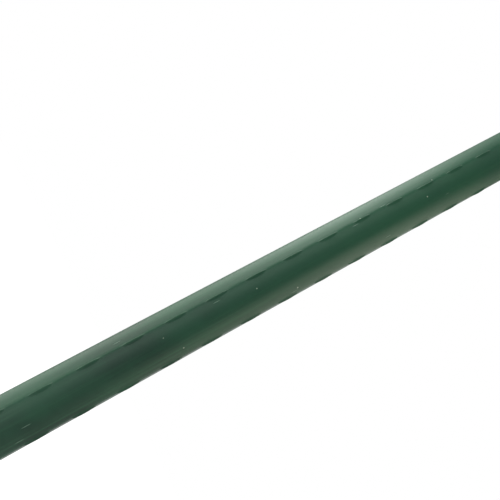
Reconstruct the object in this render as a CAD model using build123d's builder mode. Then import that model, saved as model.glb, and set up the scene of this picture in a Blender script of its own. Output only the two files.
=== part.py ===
"""Plastic-coated steel garden stake.

A thin-wall welded steel tube runs inside an extruded plastic jacket. The jacket's section is
four flattened arcs that meet at four soft corners, and each corner carries a row of short raised
nibs that stop ties and clips from slipping. A moulded cap closes the top and a moulded point
closes the bottom.

Frame: the stake stands upright along +Z. The origin is the lowest point of the ground tip, and
the four rows of nibs face +X, +Y, -X and -Y. All lengths are in millimetres.
"""

import os
from math import asin, cos, degrees, radians, sin

from build123d import *

# ---------------------------------------------------------------------------
# Driving dimensions
# ---------------------------------------------------------------------------
stake_length = 600.0          # point of the ground tip to the top of the cap

# Plastic jacket
corner_radius_from_axis = 5.5  # 11 mm nominal size, measured over the soft corners
face_radius_from_axis = 5.22   # the four faces between the corners are slightly flatter
corner_rounding = 1.0          # soft radius on each corner line
adhesive_film = 0.05           # hot-melt film between tube and jacket

# Raised nibs
row_count = 4
nib_pitch = 9.0                # from one nib to the next in the same row
nib_base_length = 4.7
nib_base_width = 0.8
nib_base_shift = 0.26          # a nib has one steep side and one side that slopes down to a face
nib_crest_length = 3.3
nib_crest_width = 0.1
nib_height = 0.34              # above the corner line
nib_root_depth = 0.2           # buried in the jacket so that the two fuse
nib_end_margin = 6.0           # from each cut end to the middle of the first nib

# Steel tube
tube_radius = 4.7
tube_wall = 0.4
weld_bead_width = 1.2
weld_bead_height = 0.25

# Moulded end pieces
nib_clearance = 0.1            # between the nib crests and the bore of cap and tip
rib_clearance = 0.05           # between the centring ribs and the jacket's faces
rib_width = 1.2
end_rim_rounding = 0.3

cap_radius = 6.7
cap_skirt_length = 18.0
cap_crown_thickness = 3.0
cap_crown_rounding = 2.8

tip_sleeve_radius = 7.0
tip_cone_height = 22.0
tip_point_radius = 1.2
tip_shoulder_height = 24.0     # the tube and the jacket stand on this shoulder
tip_sleeve_length = 18.0       # above the shoulder
spigot_length = 12.0
spigot_clearance = 0.1
spigot_lead_in = 0.8
core_hole_radius = 2.0
core_hole_floor = 12.0         # height of the bottom of the core hole

# ---------------------------------------------------------------------------
# Worked out from the driving dimensions
# ---------------------------------------------------------------------------
tube_bottom = tip_shoulder_height
tube_top = stake_length - cap_crown_thickness
tube_length = tube_top - tube_bottom
tube_bore_radius = tube_radius - tube_wall
jacket_bore_radius = tube_radius + adhesive_film
nib_crest_radius = corner_radius_from_axis + nib_height
end_bore_radius = nib_crest_radius + nib_clearance
rib_reach_radius = face_radius_from_axis + rib_clearance
quarter_turn = 360.0 / row_count


def jacket_outline():
    """Four flattened arcs, corner to corner, with the corners on the X and Y axes."""
    for side in range(row_count):
        start = Vector(corner_radius_from_axis, 0).rotate(Axis.Z, side * quarter_turn)
        middle = Vector(face_radius_from_axis, 0).rotate(Axis.Z, (side + 0.5) * quarter_turn)
        end = Vector(corner_radius_from_axis, 0).rotate(Axis.Z, (side + 1) * quarter_turn)
        ThreePointArc(start, middle, end)


def nib_places(rows):
    """One location for each nib. Neighbouring rows are staggered by half a pitch."""
    places = []
    for row in rows:
        height = tube_bottom + nib_end_margin + (row % 2) * nib_pitch / 2
        while height <= tube_top - nib_end_margin:
            places.append(Location((0, 0, height), (0, 0, row * quarter_turn)))
            height += nib_pitch
    return places


def centring_ribs(bottom, length):
    """Ribs inside an end piece, one over each face of the jacket, from the bore inwards."""
    rib_depth = end_bore_radius - rib_reach_radius + end_rim_rounding
    rib_middle = rib_reach_radius + rib_depth / 2
    with BuildSketch(Plane.XY.offset(bottom)) as ribs:
        with PolarLocations(rib_middle, row_count, start_angle=quarter_turn / 2):
            Rectangle(rib_depth, rib_width)
    extrude(ribs.sketch, amount=length)


# ---------------------------------------------------------------------------
# Steel tube: rolled strip, welded along one line, with the bead left inside
# ---------------------------------------------------------------------------
with BuildPart() as steel_tube:
    with BuildSketch(Plane.XY.offset(tube_bottom)):
        Circle(tube_radius)
        Circle(tube_bore_radius, mode=Mode.SUBTRACT)
        with Locations((0, tube_bore_radius)):
            Ellipse(weld_bead_width / 2, weld_bead_height)
    extrude(amount=tube_length)
steel_tube.part.label = "steel_tube"

# ---------------------------------------------------------------------------
# Plastic jacket: extruded over the tube, nibs pressed up along the corner lines. Two of the four
# faces have the sloping sides of the nibs along both their edges, so every second row is mirrored.
# ---------------------------------------------------------------------------
with BuildPart() as nib:
    with BuildSketch(Plane.YZ.offset(corner_radius_from_axis - nib_root_depth)):
        with Locations((nib_base_shift, 0)):
            Rectangle(nib_base_width, nib_base_length)
    with BuildSketch(Plane.YZ.offset(nib_crest_radius)):
        Rectangle(nib_crest_width, nib_crest_length)
    loft()
mirrored_nib = mirror(nib.part, about=Plane.XZ)

with BuildPart() as plastic_coat:
    with BuildSketch(Plane.XY.offset(tube_bottom)) as jacket_section:
        with BuildLine():
            jacket_outline()
        make_face()
        fillet(jacket_section.vertices(), corner_rounding)
        Circle(jacket_bore_radius, mode=Mode.SUBTRACT)
    extrude(amount=tube_length)
    with Locations(*nib_places(range(1, row_count, 2))):
        add(nib.part)
    with Locations(*nib_places(range(0, row_count, 2))):
        add(mirrored_nib)
plastic_coat.part.label = "plastic_coat"

# ---------------------------------------------------------------------------
# Top cap: pushed over the jacket until its crown stands on the tube
# ---------------------------------------------------------------------------
cap_bottom = tube_top - cap_skirt_length

with BuildPart() as top_cap:
    with BuildSketch(Plane.XY.offset(cap_bottom)):
        Circle(cap_radius)
    extrude(amount=stake_length - cap_bottom)
    fillet(top_cap.edges().group_by(Axis.Z)[-1], cap_crown_rounding)
    fillet(top_cap.edges().group_by(Axis.Z)[0], end_rim_rounding)
    with BuildSketch(Plane.XY.offset(cap_bottom)):
        Circle(end_bore_radius)
    extrude(amount=cap_skirt_length, mode=Mode.SUBTRACT)
    centring_ribs(cap_bottom + end_rim_rounding, cap_skirt_length - end_rim_rounding)
top_cap.part.label = "top_cap"

# ---------------------------------------------------------------------------
# Ground tip: a rounded cone, a sleeve round the jacket and a spigot in the tube
# ---------------------------------------------------------------------------
sleeve_top = tip_shoulder_height + tip_sleeve_length
spigot_top = tip_shoulder_height + spigot_length
spigot_radius = tube_bore_radius - weld_bead_height - spigot_clearance

# The point is an arc tangent to the cone's side. From the centre of that arc, the sleeve's lower
# corner is seen at an angle, and the tangent leaves the arc a further right-angled step round.
point_centre_height = tip_point_radius
corner_rise = tip_cone_height - point_centre_height
corner_distance = (tip_sleeve_radius**2 + corner_rise**2) ** 0.5
cone_angle = degrees(asin(tip_sleeve_radius / corner_distance))
cone_angle -= degrees(asin(tip_point_radius / corner_distance))


def on_point(angle_from_below):
    """Point of the tip's rounding, at an angle measured from straight down."""
    turn = radians(angle_from_below)
    return (tip_point_radius * sin(turn), point_centre_height - tip_point_radius * cos(turn))


with BuildPart() as ground_tip:
    with BuildSketch(Plane.XZ):
        with BuildLine():
            tangent_turn = 90.0 - cone_angle
            ThreePointArc(on_point(0), on_point(tangent_turn / 2), on_point(tangent_turn))
            Polyline(
                on_point(tangent_turn),
                (tip_sleeve_radius, tip_cone_height),
                (tip_sleeve_radius, sleeve_top),
                (end_bore_radius, sleeve_top),
                (end_bore_radius, tip_shoulder_height),
                (spigot_radius, tip_shoulder_height),
                (spigot_radius, spigot_top - spigot_lead_in),
                (spigot_radius - spigot_lead_in, spigot_top),
                (core_hole_radius, spigot_top),
                (core_hole_radius, core_hole_floor),
                (0, core_hole_floor),
                on_point(0),
            )
        make_face()
    revolve(axis=Axis.Z)
    outer_rim = ground_tip.edges().filter_by(GeomType.CIRCLE).group_by(Axis.Z)[-1]
    fillet(outer_rim.sort_by(SortBy.RADIUS)[-1], end_rim_rounding)
    centring_ribs(tip_shoulder_height, tip_sleeve_length - end_rim_rounding)
ground_tip.part.label = "ground_tip"

# ---------------------------------------------------------------------------
# One file for each piece
# ---------------------------------------------------------------------------
os.makedirs("parts", exist_ok=True)
export_step(steel_tube.part, "parts/steel_tube.step")
export_step(plastic_coat.part, "parts/plastic_coat.step")
export_step(top_cap.part, "parts/top_cap.step")
export_step(ground_tip.part, "parts/ground_tip.step")

for piece in (steel_tube, plastic_coat, top_cap, ground_tip):
    box = piece.part.bounding_box()
    print(f"{piece.part.label}: volume {piece.part.volume:.0f} mm3, z {box.min.Z:.2f} to {box.max.Z:.2f}")
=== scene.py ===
# %% [markdown]
# # A plastic-coated steel garden stake
#
# This lesson dresses a finished engineering model for the camera. The stake is a thin steel tube
# inside a dark green plastic jacket. Short raised nibs run along the jacket in four rows, a cap
# closes the top and a pointed shoe closes the bottom. The engineering model fixes every size and
# place, so we load it first and build each visible piece around it.

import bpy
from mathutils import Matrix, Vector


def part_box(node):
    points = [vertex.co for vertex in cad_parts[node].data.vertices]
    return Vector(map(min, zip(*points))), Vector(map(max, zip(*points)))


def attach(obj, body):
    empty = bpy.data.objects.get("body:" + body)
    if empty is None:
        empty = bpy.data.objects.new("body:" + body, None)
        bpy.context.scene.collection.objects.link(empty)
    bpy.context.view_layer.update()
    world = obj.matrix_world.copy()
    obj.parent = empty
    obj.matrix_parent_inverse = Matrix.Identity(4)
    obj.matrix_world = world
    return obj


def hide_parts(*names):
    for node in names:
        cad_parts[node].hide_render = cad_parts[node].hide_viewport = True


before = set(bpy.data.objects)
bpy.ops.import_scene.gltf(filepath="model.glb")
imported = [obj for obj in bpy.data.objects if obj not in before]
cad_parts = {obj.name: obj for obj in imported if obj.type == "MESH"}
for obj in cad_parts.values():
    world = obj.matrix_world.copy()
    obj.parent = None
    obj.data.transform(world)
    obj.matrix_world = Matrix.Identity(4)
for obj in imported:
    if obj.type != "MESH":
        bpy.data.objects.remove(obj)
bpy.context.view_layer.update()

# %% [markdown]
# Blender works in metres, but people who make stakes think in millimetres. We keep all our own
# numbers in millimetres and turn them into metres in one place, where the mesh is made.
#
# Colours are kept as the hex values that a paint program shows. Shaders need linear light
# instead, so one function does that conversion for the whole file.

# %% Units and colours
import math

import bpy
import numpy as np
from mathutils import Matrix, Vector

MM = 0.001
root = "root"


def millimetres(node):
    """Lowest and highest corner of a node of the engineering model, in millimetres."""
    low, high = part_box(node)
    return np.array(low) / MM, np.array(high) / MM


def linear(hex_colour):
    """Turn an sRGB hex colour such as "#2e4a3c" into linear red, green, blue and alpha."""
    values = [int(hex_colour[i:i + 2], 16) / 255 for i in (1, 3, 5)]
    return [v / 12.92 if v <= 0.04045 else ((v + 0.055) / 1.055) ** 2.4 for v in values] + [1.0]


jacket_low, jacket_high = millimetres("plastic_coat")
print("jacket runs from z", jacket_low[2], "to", jacket_high[2], "mm")

# %% [markdown]
# ## One way to build every round piece
#
# The jacket, the cap and the shoe are all round, so each can be made as a stack of rings. Every
# ring has the same number of points, and neighbouring rings are joined by four-sided faces. Such
# a grid shades smoothly, and a small change of radius at one point makes a ridge or a nib.
#
# A pipe-shaped piece joins its last ring back to its first. A piece that is closed on the axis
# ends in a fan of triangles round one middle point instead.

# %% Rings to mesh
def mesh_from_rings(name, rings, is_pipe):
    """Join rings of points, in millimetres, into a smooth-shaded mesh that rides on the stake."""
    ring_count, column_count = rings.shape[:2]
    points = rings.reshape(-1, 3)
    first = np.arange(ring_count if is_pipe else ring_count - 1)[:, None] * column_count
    column = np.arange(column_count)[None, :]
    beside = (column + 1) % column_count
    above = (first + column_count) % len(points)
    faces = np.stack([first + column, first + beside, above + beside, above + column], axis=-1)
    faces = faces.reshape(-1, 4).tolist()
    if not is_pipe:
        middles = [rings[0].mean(axis=0), rings[-1].mean(axis=0)]
        bottom_middle, top_middle = len(points), len(points) + 1
        last = len(points) - column_count
        points = np.vstack([points, middles])
        for c in range(column_count):
            n = (c + 1) % column_count
            faces.append([bottom_middle, n, c])
            faces.append([top_middle, last + c, last + n])
    mesh = bpy.data.meshes.new(name)
    mesh.from_pydata((points * MM).tolist(), [], faces)
    mesh.validate()
    mesh.shade_smooth()
    piece = bpy.data.objects.new(name, mesh)
    bpy.context.scene.collection.objects.link(piece)
    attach(piece, root)
    print(name, "has", len(mesh.vertices), "points and", len(mesh.polygons), "faces")
    return piece


# %% [markdown]
# Soft plastic has no sharp edges, so wherever a surface rises or falls in this lesson, it follows
# one ramp. Most of the ramp is straight, and a share of a smooth S-curve rounds its ends.

# %% Soft ramp
ramp_rounding = 0.3


def ease(t):
    """A ramp from 0 to 1 with a rounded start and a rounded end."""
    t = np.clip(t, 0.0, 1.0)
    return (1 - ramp_rounding) * t + ramp_rounding * t * t * (3 - 2 * t)


print("a quarter of the way along, the ramp has climbed", ease(0.25))

# %% [markdown]
# ## The jacket's section
#
# The jacket is extruded round the tube, and four rollers then press it while it is still soft.
# Each roller leaves a face that is a little flatter than a circle. Where two rollers meet, the
# plastic is left as a soft corner line. A mesh of the whole section is better here than a bump
# map, because the corner line turns the light along the full length of the stake.
#
# The columns of the mesh are crowded near the corner lines, where the shape changes quickly, and
# spread out over the plain faces.

# %% Section of the jacket
row_count = 4
corner_radius = 5.5
face_radius = 5.22
corner_softness = 0.28
face_columns = 7
near_corner = np.array([0, 0.04, 0.12, 0.24, 0.38, 0.52, 0.7])

# A circular arc through two corners and the middle of the face between them.
half_side = corner_radius * math.cos(math.pi / 4)
arc_shift = (corner_radius**2 - face_radius**2) / (2 * (face_radius - half_side))
arc_radius = face_radius + arc_shift
corner_slope = math.tan(math.pi / 4 - math.atan2(half_side, half_side + arc_shift))

corner_offsets = np.concatenate([-near_corner[:0:-1], near_corner])
face_span = math.pi / 2 * corner_radius - 2 * near_corner[-1]
face_offsets = near_corner[-1] + face_span * np.arange(1, face_columns + 1) / (face_columns + 1)
quarter_offsets = np.concatenate([corner_offsets, face_offsets])
column_angles = np.concatenate(
    [row * math.pi / 2 + quarter_offsets / corner_radius for row in range(row_count)]
)


def section_radius(angles):
    """Radius of the plain jacket, without nibs, at each angle round the axis."""
    from_face = (angles % (math.pi / 2)) - math.pi / 4
    radius = np.sqrt(arc_radius**2 - (arc_shift * np.sin(from_face)) ** 2)
    radius = radius - arc_shift * np.cos(from_face)
    from_corner = (math.pi / 4 - np.abs(from_face)) * corner_radius
    rounding = np.clip(1 - from_corner / corner_softness, 0, 1) ** 2
    return radius - rounding * corner_slope * corner_softness / 2


print("jacket section has", len(column_angles), "columns, arc radius", round(arc_radius, 2), "mm")

# %% [markdown]
# ## The nibs
#
# Each nib is a low ridge, shaped like half a grain of rice, that lies along a corner line. One
# side falls away steeply and the other slopes down to a face. Two of the four faces have sloping
# sides along both their edges, so the rows take turns in leaning one way and the other.
#
# Neighbouring rows are also staggered by half a pitch, so one nib ends almost where the next one
# begins. The rings of the mesh are crowded round those ends.

# %% Rings of the jacket
nib_pitch = 9.0
nib_end_margin = 6.0
half_pitch = nib_pitch / 2
half_pitch_rings = np.array([0.0, 0.9, 1.6, 2.05, 2.25, 2.45, 2.9, 3.6])
end_gap = 0.1


def ring_heights():
    """Heights of the jacket's rings, crowded round the ends of the nibs."""
    start = jacket_low[2] + nib_end_margin - half_pitch
    count = int((jacket_high[2] - start) / half_pitch) + 1
    heights = np.concatenate([start + k * half_pitch + half_pitch_rings for k in range(count)])
    inside = (heights > jacket_low[2] + end_gap) & (heights < jacket_high[2] - end_gap)
    return np.concatenate([[jacket_low[2]], heights[inside], [jacket_high[2]]])


heights = ring_heights()
print("jacket has", len(heights), "rings, up to", np.diff(heights).max().round(2), "mm apart")

# %% [markdown]
# No two pressed nibs are quite the same. A seeded random generator gives each one a slightly
# different height, length and sideways place, and the seed makes every run give the same stake.
#
# Along the stake, the height and the width of a nib follow half an ellipse, here called its lens.
# Across the corner line, the lower of two ramps gives the height: a short steep one and a long
# sloping one.

# %% Nibs
nib_height = 0.34
nib_slope_width = 0.6
nib_steep_width = 0.12
nib_half_length = 2.36
random = np.random.default_rng(11)
height_spread = 0.04
length_spread = 0.02
sideways_spread = 0.015
thinnest_lens = 0.1


def nib_relief(heights, row):
    """How far the nibs of one row stand up, for each ring and each offset from the corner."""
    first = jacket_low[2] + nib_end_margin + (row % 2) * half_pitch
    count = int((jacket_high[2] - nib_end_margin - first) / nib_pitch) + 1
    tallness = 1 + random.normal(0, height_spread, count)
    stretch = 1 + random.normal(0, length_spread, count)
    sideways = random.normal(0, sideways_spread, count)
    nearest = np.clip(np.round((heights - first) / nib_pitch).astype(int), 0, count - 1)
    along = (heights - first - nearest * nib_pitch) / (nib_half_length * stretch[nearest])
    lens = np.sqrt(np.clip(1 - along**2, 0, 1))
    down_slope = 1 if row % 2 else -1
    across = down_slope * corner_offsets[None, :] - sideways[nearest][:, None]
    slope = ease(1 - across / (nib_slope_width * np.maximum(lens, thinnest_lens))[:, None])
    steep = ease(1 + across / nib_steep_width)
    return nib_height * (tallness[nearest] * lens)[:, None] * np.minimum(slope, steep)


radii = np.tile(section_radius(column_angles), (len(heights), 1))
for row in range(row_count):
    first_column = row * len(quarter_offsets)
    radii[:, first_column:first_column + len(corner_offsets)] += nib_relief(heights, row)
print("the highest nib reaches", round(radii.max(), 3), "mm from the axis")

# %% [markdown]
# The jacket is a pipe. Its outer rings go up the stake, and two plain rings come back down along
# the bore. The steel tube lies inside, where it doesn't show.
#
# The rollers never run perfectly true, so the rows of nibs wander sideways by about a degree as
# they climb. Each ring is simply turned by that angle.

# %% Jacket mesh
bore_radius = 4.75
wander_degrees = 0.9
wander_length = 200.0
wander_middle = 275.0


def ring_points(radius, height, angles):
    """Points of one ring, in millimetres."""
    radius = np.broadcast_to(radius, angles.shape)
    return np.stack([radius * np.cos(angles), radius * np.sin(angles), height + 0 * angles], axis=-1)


def wander(height):
    """How far the rows of nibs have turned aside at a height, in radians."""
    waves = (height - wander_middle) / wander_length
    return math.radians(wander_degrees) * math.sin(2 * math.pi * waves)


outer = [ring_points(r, z, column_angles + wander(z)) for r, z in zip(radii, heights)]
bore = [ring_points(bore_radius, z, column_angles) for z in (jacket_high[2], jacket_low[2])]
jacket = mesh_from_rings("ribbed_jacket", np.array(outer + bore), is_pipe=True)
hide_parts("plastic_coat")

# %% [markdown]
# ## Cap and shoe
#
# The cap and the pointed shoe are injection moulded. A moulded piece shows where its mould
# opened: two hair-thin lines run down opposite sides, and a small dimple with a broken-off stub
# marks the place where the plastic flowed in. Inside, four ribs centre the piece on the jacket.
#
# Both can be drawn as one outline that is spun round the axis. Each stretch of the outline also
# says what it belongs to: the outer skin, which carries the mould lines, the bore, which carries
# the ribs, or plain. The columns of the mesh are even, with extra ones where a line or a rib runs.

# %% Columns of a spun piece
mould_line_height = 0.05
mould_line_half_width = 0.12
rib_half_width = 0.6
rib_edge = 0.08
rib_reach = 5.27
end_bore_radius = 5.94
spin_steps = 64
closest_columns = 0.02

line_offsets = mould_line_half_width * np.linspace(-1, 1, 5) / end_bore_radius
rib_sides = np.array([rib_half_width, rib_half_width + rib_edge])
rib_offsets = np.concatenate([-rib_sides[::-1], rib_sides]) / end_bore_radius
feature_angles = [math.pi / 4 + side * math.pi / 2 + rib_offsets for side in range(row_count)]
feature_angles += [math.pi / 4 + line_offsets, math.pi * 5 / 4 + line_offsets]
even_angles = np.arange(spin_steps) / spin_steps * 2 * math.pi
to_features = np.abs(even_angles[:, None] - np.concatenate(feature_angles)[None, :])
clear_angles = even_angles[to_features.min(axis=1) > closest_columns]
spin_angles = np.sort(np.concatenate([clear_angles] + feature_angles))
print("spun pieces have", len(spin_angles), "columns")


# %% Spinning an outline
def arc(centre_r, centre_z, radius, start_degrees, end_degrees, steps):
    """Points of a circular arc in an outline, from one angle to another."""
    turns = np.radians(np.linspace(start_degrees, end_degrees, steps + 1))
    return [(centre_r + radius * math.cos(t), centre_z + radius * math.sin(t)) for t in turns]


def spun_ring(radius, height, kind):
    """One ring of a spun piece, with the mould lines or the ribs that its kind carries."""
    from_feature = np.abs((spin_angles % (math.pi / 2)) - math.pi / 4) * end_bore_radius
    if kind == "skin":
        on_line = np.abs((spin_angles % math.pi) - math.pi / 4) * end_bore_radius
        relief = mould_line_height * ease(1 - on_line / mould_line_half_width)
        radii = radius + relief * min(1.0, radius)
    elif kind == "bore":
        inside_rib = ease((rib_half_width + rib_edge - from_feature) / rib_edge)
        radii = radius - inside_rib * (end_bore_radius - rib_reach)
    else:
        radii = radius + 0 * spin_angles
    return ring_points(radii, height, spin_angles)


def spin(name, outline):
    """Spin an outline of (kind, points) stretches into a closed piece."""
    rings = [spun_ring(r, z, kind) for kind, points in outline for r, z in points]
    return mesh_from_rings(name, np.array(rings), is_pipe=False)


print("mould lines stand", mould_line_height, "mm proud, ribs reach in to", rib_reach, "mm")

# %% [markdown]
# The cap is a short sleeve with a thick crown. Its rim and its crown are rounded, and the middle
# of the crown is flat, because that is where a palm or a mallet pushes.
#
# The outline starts inside, at the roof of the bore, goes down and out over the rim, and climbs
# to the crown. Small steps of about a tenth of a millimetre soften the edges of the dimple and of
# the stub in its middle. A closed end stops a little off the axis, where the fan takes over.

# %% Top cap
cap_low, cap_high = millimetres("top_cap")
cap_radius = cap_high[0] - mould_line_height
cap_bottom, cap_roof, cap_top = cap_low[2], jacket_high[2], cap_high[2]
crown_rounding = 2.8
rim_rounding = 0.28
fan_radius = 0.4
dimple_radius = 1.3
dimple_depth = 0.18
stub_radius = 0.45

cap_outline = [
    ("plain", [(r, cap_roof) for r in (fan_radius, 3.0, 5.0)]),
    ("bore", [(end_bore_radius, z) for z in np.linspace(cap_roof - 0.01, cap_bottom + 0.6, 5)]),
    ("plain", [(end_bore_radius + 0.06, cap_bottom + 0.08)]),
    ("skin", arc(cap_radius - rim_rounding, cap_bottom + rim_rounding, rim_rounding, -90, 0, 5)),
    ("skin", [(cap_radius, z) for z in np.linspace(cap_bottom + 1.0, cap_top - 3.4, 6)]),
    ("skin", arc(cap_radius - crown_rounding, cap_top - crown_rounding, crown_rounding, 0, 90, 12)),
    ("plain", [(3.0, cap_top), (dimple_radius + 0.15, cap_top)]),
    ("plain", [(dimple_radius, cap_top - 0.05), (dimple_radius - 0.12, cap_top - 0.14)]),
    ("plain", [(r, cap_top - dimple_depth) for r in (dimple_radius - 0.3, stub_radius + 0.12)]),
    ("plain", [(stub_radius, cap_top - 0.12), (stub_radius - 0.1, cap_top - 0.03)]),
    ("plain", [(0.12, cap_top - 0.02)]),
]
cap = spin("domed_cap", cap_outline)
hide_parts("top_cap")

# %% [markdown]
# The shoe has a sleeve round the jacket, a cored spigot inside the tube and a long rounded point
# that parts the soil. Its outline climbs from the point up the cone and the sleeve, goes down
# into the bore, and then over the spigot to the floor of the core hole.
#
# Both outlines keep the plastic on their left hand. That makes all faces look outwards.

# %% Cone of the ground tip
tip_high = millimetres("ground_tip")[1]
sleeve_radius = tip_high[0] - mould_line_height
cone_height = 22.0
point_radius = 1.2

# The cone's side leaves the rounded point as a tangent.
rise = cone_height - point_radius
reach = math.hypot(sleeve_radius, rise)
cone_turn = math.degrees(math.asin(sleeve_radius / reach) - math.asin(point_radius / reach))
tangent = arc(0, point_radius, point_radius, -cone_turn, -cone_turn, 1)[0]
cone_side = [
    (tangent[0] + (sleeve_radius - tangent[0]) * t, tangent[1] + (cone_height - tangent[1]) * t)
    for t in (0.15, 0.3, 0.45, 0.6, 0.75, 0.9, 0.985)
]
print("cone side is", round(cone_turn, 1), "degrees from the axis")

# %% Ground tip
shoulder = jacket_low[2]
spigot_radius = 3.95
spigot_top = shoulder + 12.0
spigot_lead_in = 0.8
core_radius = 2.0
core_floor = 12.0
first_ring_degrees = -84.0

tip_outline = [
    ("skin", arc(0, point_radius, point_radius, first_ring_degrees, -cone_turn, 8)),
    ("skin", cone_side + [(sleeve_radius - 0.02, cone_height + 0.15)]),
    ("skin", [(sleeve_radius, z) for z in np.linspace(cone_height + 0.5, tip_high[2] - 1.0, 6)]),
    ("skin", arc(sleeve_radius - rim_rounding, tip_high[2] - rim_rounding, rim_rounding, 0, 90, 5)),
    ("bore", [(end_bore_radius, z) for z in np.linspace(tip_high[2] - 0.4, shoulder + 0.01, 5)]),
    ("plain", [(5.2, shoulder), (spigot_radius + 0.1, shoulder)]),
    ("plain", [(spigot_radius, shoulder + 0.1), (spigot_radius, spigot_top - spigot_lead_in)]),
    ("plain", [(spigot_radius - spigot_lead_in, spigot_top)]),
    ("plain", [(core_radius + 0.1, spigot_top), (core_radius, spigot_top - 0.1)]),
    ("plain", [(core_radius, core_floor + 0.1)]),
    ("plain", [(r, core_floor) for r in (core_radius - 0.1, fan_radius)]),
]
shoe = spin("pointed_shoe", tip_outline)
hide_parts("ground_tip")

# %% [markdown]
# ## Materials
#
# Every finish is a small network of shader nodes. One helper adds a node, sets its values and
# links its inputs, so each material below reads as a short recipe.
#
# A Mix node has sockets A and B once for each kind of value. The pair for colours, and the mixed
# colour, can only be told from the others by their numbers, which get names here.

# %% Node helper
first_colour, second_colour, mixed_colour = 6, 7, 2


def add_node(tree, kind, settings=None, links=None):
    """Add one node. Settings name sockets or properties, and links name sockets to feed.

    A socket can be given by its number, and a colour by its hex value.
    """
    node = tree.nodes.new(kind)
    for name, value in (settings or {}).items():
        if isinstance(value, str) and value.startswith("#"):
            value = linear(value)
        if isinstance(name, int) or name in node.inputs:
            node.inputs[name].default_value = value
        else:
            setattr(node, name, value)
    for name, source in (links or {}).items():
        tree.links.new(source, node.inputs[name])
    return node


# %% [markdown]
# A material starts as a Principled shader, the coordinates of the piece, and the output. The
# coordinates are the piece's own, in metres, so a pattern stays on the piece when it moves.

# %% Material helpers
def new_material(name, **surface):
    """A material with its Principled shader, whose plain values are set on its own sockets."""
    material = bpy.data.materials.new(name)
    material.use_nodes = True
    tree = material.node_tree
    tree.nodes.clear()
    shader = add_node(tree, "ShaderNodeBsdfPrincipled", surface)
    add_node(tree, "ShaderNodeOutputMaterial", links={"Surface": shader.outputs["BSDF"]})
    place = add_node(tree, "ShaderNodeTexCoord").outputs["Object"]
    return material, tree, shader, place


def wear(piece, material):
    """Give a piece one material and nothing else."""
    piece.data.materials.clear()
    piece.data.materials.append(material)
    print(piece.name, "wears", material.name)


# %% [markdown]
# ### Extruded polyethylene
#
# The jacket is dark green polyethylene, extruded and pressed while warm. Polyethylene has an index
# of refraction of 1.51 and a satin gloss, so its roughness lies near 0.4.
#
# The die leaves faint streaks along the stake, the cooling leaves a slow mottle, and the rollers
# leave a fine orange peel. All three are noise. The scale of a noise texture is the number of its
# features in a metre, so a grain of 0.4 mm has a scale of 2500. Squeezing the noise across the
# stake much more than along it turns its blots into streaks.

# %% Jacket: streaks, mottle and orange peel
streak_width = 0.9
streak_length = 60.0
mottle_size = 14.0
peel_size = 0.4

extruded_polyethylene, tree, shader, place = new_material("extruded_polyethylene", IOR=1.51)
streaks_across, streaks_along = 1 / streak_width / MM, 1 / streak_length / MM
streak_place = add_node(tree, "ShaderNodeMapping", {
    "Scale": (streaks_across, streaks_across, streaks_along),
}, {"Vector": place})
streaks = add_node(tree, "ShaderNodeTexNoise", {"Scale": 1.0, "Detail": 3.0},
                   {"Vector": streak_place.outputs["Vector"]}).outputs["Fac"]
mottle = add_node(tree, "ShaderNodeTexNoise", {"Scale": 1 / mottle_size / MM, "Detail": 4.0},
                  {"Vector": place}).outputs["Fac"]
peel = add_node(tree, "ShaderNodeTexNoise", {"Scale": 1 / peel_size / MM, "Detail": 2.0},
                {"Vector": place}).outputs["Fac"]
print("streaks in a metre, across and along", round(streaks_across), round(streaks_along))

# %% [markdown]
# A stake that has been handled carries pale specks of dust. They are small round spots in a
# Voronoi pattern, whose cells each have a random colour as well. Only the cells whose random red
# is near its highest value get a spot, so that the specks stay few and scattered.

# %% Jacket: dust specks
speck_spacing = 2.6
speck_outer_radius = 0.221
speck_inner_radius = 0.13
speck_share = 0.14
speck_fade = 0.02

dust_cells = add_node(tree, "ShaderNodeTexVoronoi", {"Scale": 1 / speck_spacing / MM},
                      {"Vector": place})
spots = add_node(tree, "ShaderNodeMapRange", {
    "From Min": speck_outer_radius / speck_spacing,
    "From Max": speck_inner_radius / speck_spacing,
    "interpolation_type": "SMOOTHSTEP",
}, {"Value": dust_cells.outputs["Distance"]})
cell_colour = add_node(tree, "ShaderNodeSeparateColor",
                       links={"Color": dust_cells.outputs["Color"]})
dusty_cells = add_node(tree, "ShaderNodeMapRange", {
    "From Min": 1 - speck_share,
    "From Max": 1 - speck_share + speck_fade,
    "interpolation_type": "SMOOTHSTEP",
}, {"Value": cell_colour.outputs["Red"]})
specks = add_node(tree, "ShaderNodeMath", {"operation": "MULTIPLY"},
                  {0: spots.outputs["Result"], 1: dusty_cells.outputs["Result"]}).outputs["Value"]
print("specks are", 2 * speck_outer_radius, "mm across")

# %% [markdown]
# Hairline scratches come from another Voronoi pattern, squeezed to thin slivers that lean across
# the stake. A scratch fills the middle of its sliver, and its half width is given as a share of
# the sliver's width. One sliver in forty is kept.

# %% Jacket: hairline scratches
scratch_spacing = 5.0
scratch_squeeze = 14
scratch_lean = (math.radians(20), math.radians(12), math.radians(35))
scratch_outer_share = 0.22
scratch_inner_share = 0.12
scratch_share = 0.025
scratch_fade = 0.005

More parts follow.
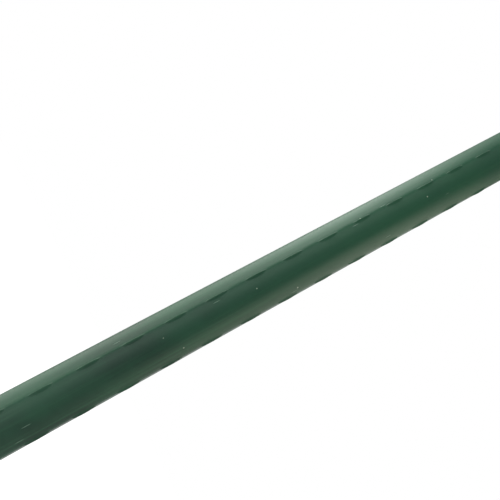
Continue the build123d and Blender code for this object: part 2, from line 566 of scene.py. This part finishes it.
squeezed = scratch_squeeze / scratch_spacing / MM
scratch_place = add_node(tree, "ShaderNodeMapping", {
    "Rotation": scratch_lean,
    "Scale": (squeezed, squeezed, 1 / scratch_spacing / MM),
}, {"Vector": place})
slivers = add_node(tree, "ShaderNodeTexVoronoi", {"Scale": 1.0},
                   {"Vector": scratch_place.outputs["Vector"]})
thin_slivers = add_node(tree, "ShaderNodeMapRange", {
    "From Min": scratch_outer_share,
    "From Max": scratch_inner_share,
    "interpolation_type": "SMOOTHSTEP",
}, {"Value": slivers.outputs["Distance"]})
sliver_colour = add_node(tree, "ShaderNodeSeparateColor",
                         links={"Color": slivers.outputs["Color"]})
kept_slivers = add_node(tree, "ShaderNodeMapRange", {
    "From Min": 1 - scratch_share,
    "From Max": 1 - scratch_share + scratch_fade,
    "interpolation_type": "SMOOTHSTEP",
}, {"Value": sliver_colour.outputs["Green"]})
scratches = add_node(tree, "ShaderNodeMath", {"operation": "MULTIPLY"}, {
    0: thin_slivers.outputs["Result"], 1: kept_slivers.outputs["Result"],
}).outputs["Value"]
print("one sliver in", round(1 / scratch_share), "is a scratch")

# %% [markdown]
# The green grows slightly lighter and darker along the stake, a sine of the height. It is painted
# shade: its phase puts the darker green on the low stretch nearest the camera and a lighter green
# just above it. Mottle, streaks, scratches and dust are then laid over it, one Mix node each.

# %% Jacket: colour
drift_length = 170.0
drift_phase = 2.68
darker_green, lighter_green = "#193b2f", "#255a41"
mottle_green, streak_green = "#21523d", "#2a5a42"
scratch_grey_green, dust_grey = "#6f8c7c", "#a9b8a8"

along = add_node(tree, "ShaderNodeSeparateXYZ", links={"Vector": place}).outputs["Z"]
drift = add_node(tree, "ShaderNodeMath", {
    "operation": "MULTIPLY_ADD", 1: 2 * math.pi / drift_length / MM, 2: drift_phase,
}, {0: along})
swing = add_node(tree, "ShaderNodeMath", {"operation": "SINE"}, {0: drift.outputs["Value"]})
feed = add_node(tree, "ShaderNodeMapRange", {"From Min": -1.0}, {"Value": swing.outputs["Value"]})
soft_mottle = add_node(tree, "ShaderNodeMapRange", {
    "From Min": 0.3, "From Max": 0.7, "interpolation_type": "SMOOTHSTEP",
}, {"Value": mottle})
soft_streaks = add_node(tree, "ShaderNodeMapRange", {
    "From Min": 0.45, "From Max": 0.75, "interpolation_type": "SMOOTHSTEP",
}, {"Value": streaks})

# Painted shade: this sine darkens the green on the low stretch nearest the camera and lightens it
# just above.
painted_shade_mix = add_node(tree, "ShaderNodeMix", {
    "data_type": "RGBA", first_colour: darker_green, second_colour: lighter_green,
}, {"Factor": feed.outputs["Result"]})
colour = painted_shade_mix.outputs[mixed_colour]
for amount, overlay in (
    (soft_mottle.outputs["Result"], mottle_green),
    (soft_streaks.outputs["Result"], streak_green),
    (scratches, scratch_grey_green),
    (specks, dust_grey),
):
    layer = add_node(tree, "ShaderNodeMix", {"data_type": "RGBA", second_colour: overlay},
                     {"Factor": amount, first_colour: colour})
    colour = layer.outputs[mixed_colour]
tree.links.new(colour, shader.inputs["Base Color"])
print("pigment drifts over", drift_length, "mm")

# %% [markdown]
# The mottle also makes the gloss uneven. Three bump nodes in a chain add the relief: the orange
# peel and the streaks are a few thousandths of a millimetre high, and the scratches are cut in.

# %% Jacket: gloss and relief
peel_height = 0.006
streak_height = 0.008
scratch_depth = 0.03
glossiest, dullest = 0.38, 0.46

gloss = add_node(tree, "ShaderNodeMapRange", {"To Min": glossiest, "To Max": dullest},
                 {"Value": mottle})
tree.links.new(gloss.outputs["Result"], shader.inputs["Roughness"])
peel_relief = add_node(tree, "ShaderNodeBump", {"Strength": 0.5, "Distance": peel_height * MM},
                       {"Height": peel})
streak_relief = add_node(tree, "ShaderNodeBump", {"Strength": 0.5, "Distance": streak_height * MM},
                         {"Height": streaks, "Normal": peel_relief.outputs["Normal"]})
cuts = add_node(tree, "ShaderNodeBump", {
    "Strength": 0.6, "Distance": scratch_depth * MM, "invert": True,
}, {"Height": scratches, "Normal": streak_relief.outputs["Normal"]})
tree.links.new(cuts.outputs["Normal"], shader.inputs["Normal"])
wear(jacket, extruded_polyethylene)

# %% [markdown]
# ### Moulded polyethylene
#
# The cap and the shoe are moulded from the same kind of plastic. The mould was spark eroded, so
# their skin is an even, fine matt grain, a little rougher than the jacket. The real grain is often
# finer than the fifth of a millimetre drawn here, which is as coarse as it needs to be to show.
#
# The shoe and the crown get rubbed, so their colour is slightly greyed in patches.

# %% Cap and shoe material
spark_grain = 0.22
spark_grain_height = 0.015
rub_size = 5.0
moulded_green, rubbed_green = "#1d4030", "#2b4a3a"
glossiest, dullest = 0.42, 0.6

moulded_polyethylene, tree, shader, place = new_material("moulded_polyethylene", IOR=1.51)
grain = add_node(tree, "ShaderNodeTexNoise", {"Scale": 1 / spark_grain / MM, "Detail": 3.0},
                 {"Vector": place}).outputs["Fac"]
rub = add_node(tree, "ShaderNodeTexNoise", {"Scale": 1 / rub_size / MM, "Detail": 5.0},
               {"Vector": place}).outputs["Fac"]
rubbed = add_node(tree, "ShaderNodeMapRange", {
    "From Min": 0.45, "From Max": 0.8, "interpolation_type": "SMOOTHSTEP",
}, {"Value": rub})
green = add_node(tree, "ShaderNodeMix", {
    "data_type": "RGBA", first_colour: moulded_green, second_colour: rubbed_green,
}, {"Factor": rubbed.outputs["Result"]})
tree.links.new(green.outputs[mixed_colour], shader.inputs["Base Color"])
gloss = add_node(tree, "ShaderNodeMapRange", {"To Min": glossiest, "To Max": dullest},
                 {"Value": rub})
tree.links.new(gloss.outputs["Result"], shader.inputs["Roughness"])
grain_relief = add_node(tree, "ShaderNodeBump", {
    "Strength": 0.6, "Distance": spark_grain_height * MM,
}, {"Height": grain})
tree.links.new(grain_relief.outputs["Normal"], shader.inputs["Normal"])
wear(cap, moulded_polyethylene)
wear(shoe, moulded_polyethylene)

# %% [markdown]
# ### Galvanised steel
#
# The tube is rolled from hot-dip galvanised strip. The zinc freezes into flat crystals, called
# spangle, a few millimetres across, each with its own brightness. A Voronoi pattern gives every
# crystal one value, and noise squeezed along the tube gives the faint lines of the rolling mill.
#
# The piece stays hidden in the jacket, but whoever takes the stake apart finds a finished surface.

# %% Tube material
spangle_size = 3.0
rolling_line_width = 0.3
rolling_line_length = 83.3
rolling_line_height = 0.01
dark_zinc, light_zinc = "#a9adb0", "#c3c7c9"
glossiest, dullest = 0.32, 0.5

galvanised_steel, tree, shader, place = new_material("hot_dip_galvanised_steel", Metallic=1.0)
spangle = add_node(tree, "ShaderNodeTexVoronoi", {"Scale": 1 / spangle_size / MM},
                   {"Vector": place})
crystal = add_node(tree, "ShaderNodeSeparateColor", links={"Color": spangle.outputs["Color"]})
zinc = add_node(tree, "ShaderNodeMix", {
    "data_type": "RGBA", first_colour: dark_zinc, second_colour: light_zinc,
}, {"Factor": crystal.outputs["Red"]})
tree.links.new(zinc.outputs[mixed_colour], shader.inputs["Base Color"])
gloss = add_node(tree, "ShaderNodeMapRange", {"To Min": glossiest, "To Max": dullest},
                 {"Value": crystal.outputs["Green"]})
tree.links.new(gloss.outputs["Result"], shader.inputs["Roughness"])
lines_across, lines_along = 1 / rolling_line_width / MM, 1 / rolling_line_length / MM
line_place = add_node(tree, "ShaderNodeMapping", {
    "Scale": (lines_across, lines_across, lines_along),
}, {"Vector": place})
lines = add_node(tree, "ShaderNodeTexNoise", {"Scale": 1.0},
                 {"Vector": line_place.outputs["Vector"]})
line_relief = add_node(tree, "ShaderNodeBump", {
    "Strength": 0.4, "Distance": rolling_line_height * MM,
}, {"Height": lines.outputs["Fac"]})
tree.links.new(line_relief.outputs["Normal"], shader.inputs["Normal"])
wear(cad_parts["steel_tube"], galvanised_steel)

# %% [markdown]
# ## The studio
#
# The stake stands on a plain pale floor of matt white board. The board glows gently, like a light
# table, and the glow grows with distance until the floor is as white as the backdrop. That hides
# the edge where floor and backdrop meet, as curved background paper does.
#
# Only the camera sees the full glow. The stake gets a small share of it, because a glowing floor
# would wash out the dark side of the plastic. A Light Path node tells the two apart.

# %% Floor material
paper_grain = 2.5
board_white, fibre_white = "#e9e5ea", "#eeeaef"
glow_is_full = 900.0
glow_in_middle = 0.28
stray_glow = 0.08

light_board, tree, shader, place = new_material("light_board", Roughness=0.9)
grain = add_node(tree, "ShaderNodeTexNoise", {"Scale": 1 / paper_grain / MM, "Detail": 3.0},
                 {"Vector": place})
fibres = add_node(tree, "ShaderNodeMapRange", {
    "From Min": 0.3, "From Max": 0.7, "interpolation_type": "SMOOTHSTEP",
}, {"Value": grain.outputs["Fac"]})
white = add_node(tree, "ShaderNodeMix", {
    "data_type": "RGBA", first_colour: board_white, second_colour: fibre_white,
}, {"Factor": fibres.outputs["Result"]})
tree.links.new(white.outputs[mixed_colour], shader.inputs["Base Color"])
distance = add_node(tree, "ShaderNodeVectorMath", {"operation": "LENGTH"}, {0: place})
floor_glow = add_node(tree, "ShaderNodeMapRange", {
    "From Max": glow_is_full * MM, "To Min": glow_in_middle, "interpolation_type": "SMOOTHSTEP",
}, {"Value": distance.outputs["Value"]})
seen_by_camera = add_node(tree, "ShaderNodeLightPath").outputs["Is Camera Ray"]
share = add_node(tree, "ShaderNodeMapRange", {"To Min": stray_glow}, {"Value": seen_by_camera})
strength = add_node(tree, "ShaderNodeMath", {"operation": "MULTIPLY"},
                    {0: floor_glow.outputs["Result"], 1: share.outputs["Result"]})
shader.inputs["Emission Color"].default_value = linear("#ffffff")
tree.links.new(strength.outputs["Value"], shader.inputs["Emission Strength"])
print("board glows fully from", glow_is_full, "mm outwards")

# %% Floor
floor_half_size = 4000.0

floor_mesh = bpy.data.meshes.new("floor")
floor_corners = [(-1, -1, 0), (1, -1, 0), (1, 1, 0), (-1, 1, 0)]
floor_points = [Vector(corner) * floor_half_size * MM for corner in floor_corners]
floor_mesh.from_pydata(floor_points, [], [(0, 1, 2, 3)])
floor = bpy.data.objects.new("floor", floor_mesh)
bpy.context.scene.collection.objects.link(floor)
wear(floor, light_board)
print("floor is", 2 * floor_half_size, "mm wide")

# %% [markdown]
# The backdrop is the world itself. The camera sees it as pure white paper, while the stake is
# lit by a much dimmer version of it, so that the softboxes can shape the light.

# %% World
world_glow = 0.1

scene = bpy.context.scene
scene.view_settings.view_transform = "Standard"
world = bpy.data.worlds.new("studio")
world.use_nodes = True
scene.world = world
tree = world.node_tree
tree.nodes.clear()
seen_by_camera = add_node(tree, "ShaderNodeLightPath").outputs["Is Camera Ray"]
glow = add_node(tree, "ShaderNodeMapRange", {"To Min": world_glow}, {"Value": seen_by_camera})
background = add_node(tree, "ShaderNodeBackground", {"Color": "#ffffff"},
                      {"Strength": glow.outputs["Result"]})
add_node(tree, "ShaderNodeOutputWorld", links={"Surface": background.outputs["Background"]})
print("world glow", world_glow)

# %% [markdown]
# ### Camera
#
# The camera stands close to the middle of the stake and looks a little upwards, so that the
# stake runs away from it. It is rolled on its side, which lays the stake across the view from
# the lower left to the upper right.
#
# Around the stake, directions are given as angles in degrees, from +X towards +Y.

# %% Camera direction
camera_side = -64.4
look_aside = 4.26
look_up = 15.8
roll = 62.7


def around(degrees, distance, height):
    """A place beside the stake, in metres, from an angle round it, a distance and a height in mm."""
    turn = math.radians(degrees)
    return Vector((math.cos(turn) * distance, math.sin(turn) * distance, height)) * MM


raised, rolled = math.radians(look_up), math.radians(roll)
towards = around(camera_side + 180 + look_aside, math.cos(raised) / MM, math.sin(raised) / MM)
level_right = towards.cross(Vector((0, 0, 1))).normalized()
level_up = level_right.cross(towards)
right = level_right * math.cos(rolled) + level_up * math.sin(rolled)
up = level_up * math.cos(rolled) - level_right * math.sin(rolled)
print("camera looks along", towards)

# %% Camera
camera_distance = 104.7
camera_height = 241.7
lens_length = 36.7
sensor_width = 36.0
nearest_seen = 1.0

camera_data = bpy.data.cameras.new("camera")
camera_data.lens = lens_length
camera_data.sensor_width = sensor_width
camera_data.clip_start = nearest_seen * MM
camera = bpy.data.objects.new("camera", camera_data)
facing = Matrix((right, up, -towards)).transposed().to_4x4()
camera_place = around(camera_side, camera_distance, camera_height)
camera.matrix_world = Matrix.Translation(camera_place) @ facing
scene.collection.objects.link(camera)
scene.camera = camera
print("camera at", camera_place)

# %% [markdown]
# ### Softboxes
#
# Satin plastic shows its lights as broad soft bands, so each band needs its own panel. A wide
# panel faces the upper side of the lying stake and makes the long grey sheen. A narrow fill and
# a weak one beside it stand behind the camera, and a warm bounce lifts the underside. A panel on
# the far side of the stake stands in for a lit backdrop and draws the thin bright rims.
#
# Two of these panels are split in height, because the upper part of the stake gets more light.
# A weak square panel straight overhead keeps the crown of the cap from going black.
#
# A panel is given by its glow in watts per square metre, so that its size can change without
# changing the brightness of its reflection.

# %% One softbox
softbox_distance = 700.0


def softbox(name, place, aim, width, height, glow, colour="#ffffff"):
    """A soft panel, with its sides in millimetres, that stands at one place and faces another."""
    light = bpy.data.lights.new(name, "AREA")
    light.shape = "RECTANGLE"
    light.size = width * MM
    light.size_y = height * MM
    light.energy = glow * light.size * light.size_y
    light.color = linear(colour)[:3]
    panel = bpy.data.objects.new(name, light)
    panel.location = place
    panel.rotation_mode = "QUATERNION"
    panel.rotation_quaternion = (aim - place).to_track_quat("-Z", "Y")
    panel.visible_camera = False
    scene.collection.objects.link(panel)
    print(name, "gives", round(light.energy, 2), "W")


def side_softbox(name, degrees, low, high, width, glow, colour="#ffffff"):
    """A softbox that stands beside the stake, from one height to another, and faces it."""
    middle = (low + high) / 2
    place, aim = around(degrees, softbox_distance, middle), around(degrees, 0, middle)
    softbox(name, place, aim, width, high - low, glow, colour)


# %% Lights
bottom, bounce_bottom, split, top, ceiling = -100.0, 200.0, 500.0, 900.0, 1600.0
wide, square, narrow = 1070.0, 1000.0, 370.0
cool_green, soft_green, pale_green, warm = "#f3fff0", "#f6fff6", "#f0fff4", "#fffbe8"
above = camera_side - 90

softbox("top", around(0, 0, ceiling), around(0, 0, 0), square, square, 2.6)
side_softbox("overhead_low", above - 15, bottom, split, wide, 6.25, cool_green)
side_softbox("overhead_high", above - 15, split, top, wide, 9.5, soft_green)
side_softbox("fill", above + 67, bottom, top, narrow, 4.7, pale_green)
side_softbox("fill_wide", above + 98, bottom, top, narrow, 0.6)
side_softbox("bounce_low", above + 180, bounce_bottom, split, wide, 2.9, warm)
side_softbox("bounce_high", above + 180, split, top, wide, 5.4, warm)
side_softbox("backdrop", above + 248, bottom, top, square, 3.0)
